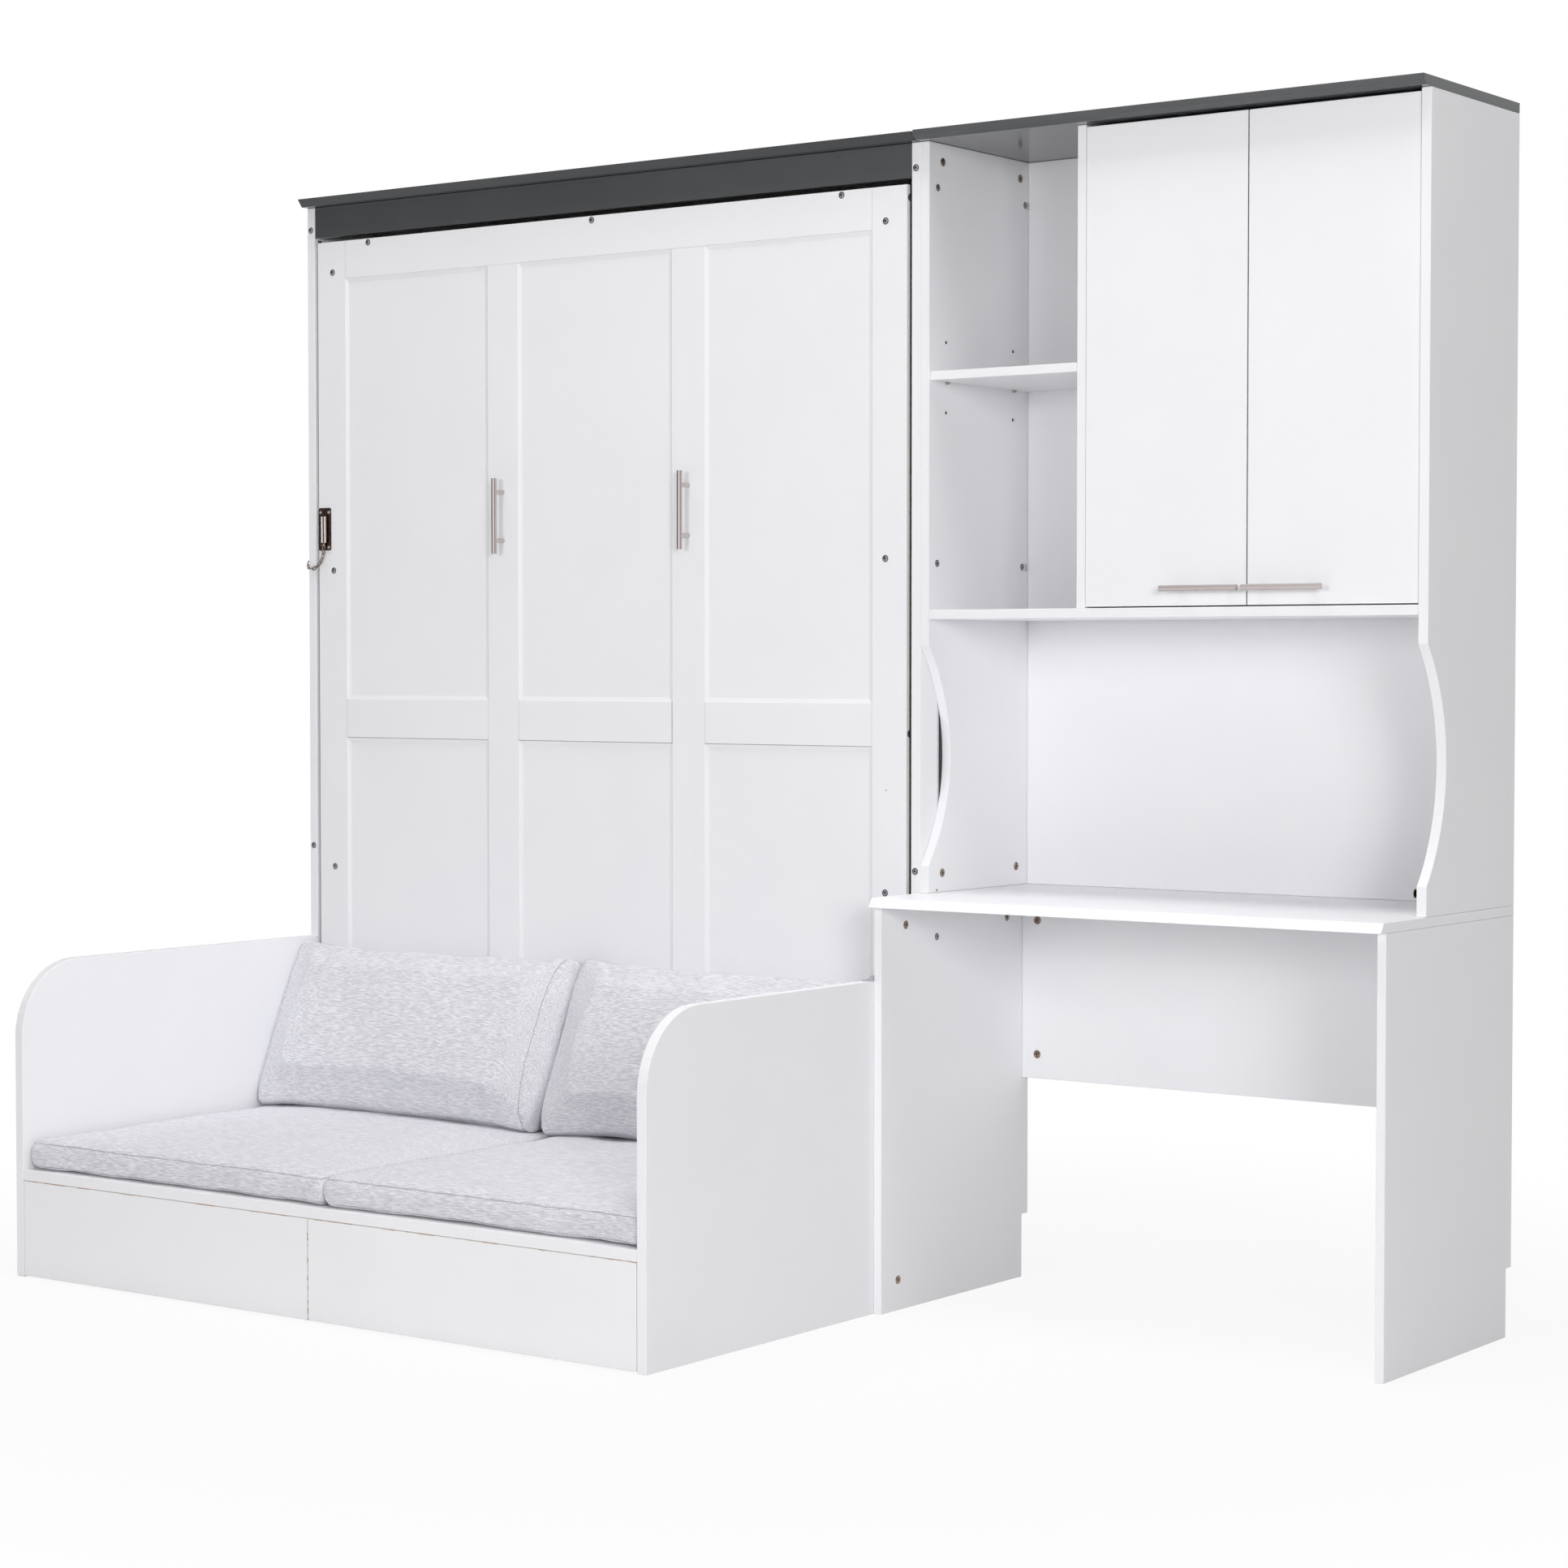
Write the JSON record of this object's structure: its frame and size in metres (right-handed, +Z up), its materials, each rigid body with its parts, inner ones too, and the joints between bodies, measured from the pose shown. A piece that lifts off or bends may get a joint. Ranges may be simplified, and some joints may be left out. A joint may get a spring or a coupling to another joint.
{
  "type": "wall bed with sofa",
  "caption": "Fold-down wall bed behind a two-seat sofa with drawers and arms, joined to a desk with a hutch of open shelves and a two-door cupboard.",
  "frame": {"origin": "middle of the floor area that the unit covers, on the floor", "axes": "+X along the wall from the bed to the desk, +Y towards the wall, +Z up"},
  "size_m": [2.547, 1.148, 2.131],
  "materials": {
    "white_board": "white melamine, satin",
    "grey_board": "dark grey melamine, satin",
    "birch_ply": "plain plywood",
    "fabric": "light grey woven melange",
    "brushed_steel": "brushed",
    "nickel": "nickel plated",
    "zinc_steel": "zinc plated",
    "black_steel": "black powder coat"
  },
  "bodies": {
    "cabinet": {"bed_side_left": "white_board", "bed_side_right": "white_board", "bed_crown": "grey_board", "bed_fascia": "grey_board", "bed_wall_rail": "white_board", "bed_back_panel": "white_board", "cabinet_pivot_plate_left": "zinc_steel", "cabinet_pivot_plate_right": "zinc_steel", "guard_anchor": "nickel", "guard_chain": "nickel", "sofa_arm_left": "white_board", "sofa_arm_right": "white_board", "seat_board": "white_board", "sofa_rear_board": "white_board", "sofa_centre_divider": "white_board", "drawer_runner_left_outer": "zinc_steel", "drawer_runner_left_inner": "zinc_steel", "drawer_runner_right_outer": "zinc_steel", "drawer_runner_right_inner": "zinc_steel", "desk_leg_left": "white_board", "desk_leg_right": "white_board", "desk_top": "white_board", "modesty_panel": "white_board", "hutch_side_left": "white_board", "hutch_side_right": "white_board", "hutch_bottom": "white_board", "hutch_divider": "white_board", "hutch_shelf": "white_board", "hutch_back": "white_board", "hutch_top": "grey_board", "arm_joining_bracket": "nickel"},
    "bed": {"bed_face_panel": "white_board", "bed_rail_left": "white_board", "bed_rail_right": "white_board", "bed_head_rail": "white_board", "bed_foot_rail": "white_board", "bed_slat_deck": "birch_ply", "bed_pivot_plate_left": "zinc_steel", "bed_pivot_plate_right": "zinc_steel", "pull_handle_left": "brushed_steel", "pull_handle_right": "brushed_steel", "guard_plate": "nickel"},
    "support_legs": {"support_leg_left": "black_steel", "support_leg_right": "black_steel"},
    "strut_cylinders": {"strut_cylinder_left": "black_steel", "strut_cylinder_right": "black_steel"},
    "strut_rods": {"strut_rod_left": "zinc_steel", "strut_rod_right": "zinc_steel"},
    "drawer_left": {"drawer_front_left": "white_board", "drawer_box_left": "birch_ply"},
    "drawer_right": {"drawer_front_right": "white_board", "drawer_box_right": "birch_ply"},
    "seat_cushion_left": {"seat_cushion_left": "fabric"},
    "seat_cushion_right": {"seat_cushion_right": "fabric"},
    "back_cushion_left": {"back_cushion_left": "fabric"},
    "back_cushion_right": {"back_cushion_right": "fabric"},
    "door_left": {"door_left": "white_board", "door_handle_left": "brushed_steel"},
    "door_right": {"door_right": "white_board", "door_handle_right": "brushed_steel"}
  },
  "joints": [
    {"name": "bed_tilt", "type": "hinge", "parent": "cabinet", "child": "bed", "pos_m": [-0.5005, 0.263, 0.335], "axis": [1, 0, 0], "range_deg": [0, 90], "stiffness_Nm_per_rad": 40, "springref_deg": -8.59, "deforming": ["guard_chain"]},
    {"name": "leg_swing", "type": "hinge", "parent": "bed", "child": "support_legs", "pos_m": [-0.5005, 0.333, 1.985], "axis": [1, 0, 0], "range_deg": [0, 270]},
    {"name": "strut_swing", "type": "hinge", "parent": "cabinet", "child": "strut_cylinders", "pos_m": [-0.5005, 0.403, 0.835], "axis": [1, 0, 0], "range_deg": [0, 8.72]},
    {"name": "strut_stroke", "type": "slide", "parent": "strut_cylinders", "child": "strut_rods", "axis": [0, 0.1055, 0.9944], "range_m": [0, 0.2333]},
    {"name": "drawer_left_slide", "type": "slide", "parent": "cabinet", "child": "drawer_left", "axis": [0, -1, 0], "range_m": [0, 0.4]},
    {"name": "drawer_right_slide", "type": "slide", "parent": "cabinet", "child": "drawer_right", "axis": [0, -1, 0], "range_m": [0, 0.4]},
    {"name": "seat_cushion_left_pull", "type": "slide", "parent": "cabinet", "child": "seat_cushion_left", "axis": [0, -1, 0], "range_m": [0, 0.2]},
    {"name": "seat_cushion_right_pull", "type": "slide", "parent": "cabinet", "child": "seat_cushion_right", "axis": [0, -1, 0], "range_m": [0, 0.2]},
    {"name": "back_cushion_left_lift", "type": "hinge", "parent": "cabinet", "child": "back_cushion_left", "pos_m": [-0.8785, -0.772, -0.413], "axis": [1, 0, 0], "range_deg": [0, 114.1]},
    {"name": "back_cushion_right_lift", "type": "hinge", "parent": "cabinet", "child": "back_cushion_right", "pos_m": [-0.1195, -0.772, -0.413], "axis": [1, 0, 0], "range_deg": [0, 114.1]},
    {"name": "door_left_swing", "type": "hinge", "parent": "cabinet", "child": "door_left", "pos_m": [0.613, 0.233, 1.68825], "axis": [0, 0, -1], "range_deg": [0, 100]},
    {"name": "door_right_swing", "type": "hinge", "parent": "cabinet", "child": "door_right", "pos_m": [1.254, 0.233, 1.68825], "axis": [0, 0, 1], "range_deg": [0, 100]}
  ],
  "couplings": [
    {"joint": "leg_swing", "follows": "bed_tilt", "ratio": 3},
    {"joint": "strut_swing", "follows": "bed_tilt", "ratio": 0.096859},
    {"joint": "strut_stroke", "follows": "bed_tilt", "m_per_rad": 0.14848},
    {"joint": "back_cushion_left_lift", "follows": "bed_tilt", "ratio": 1.2667},
    {"joint": "back_cushion_right_lift", "follows": "bed_tilt", "ratio": 1.2667}
  ]
}
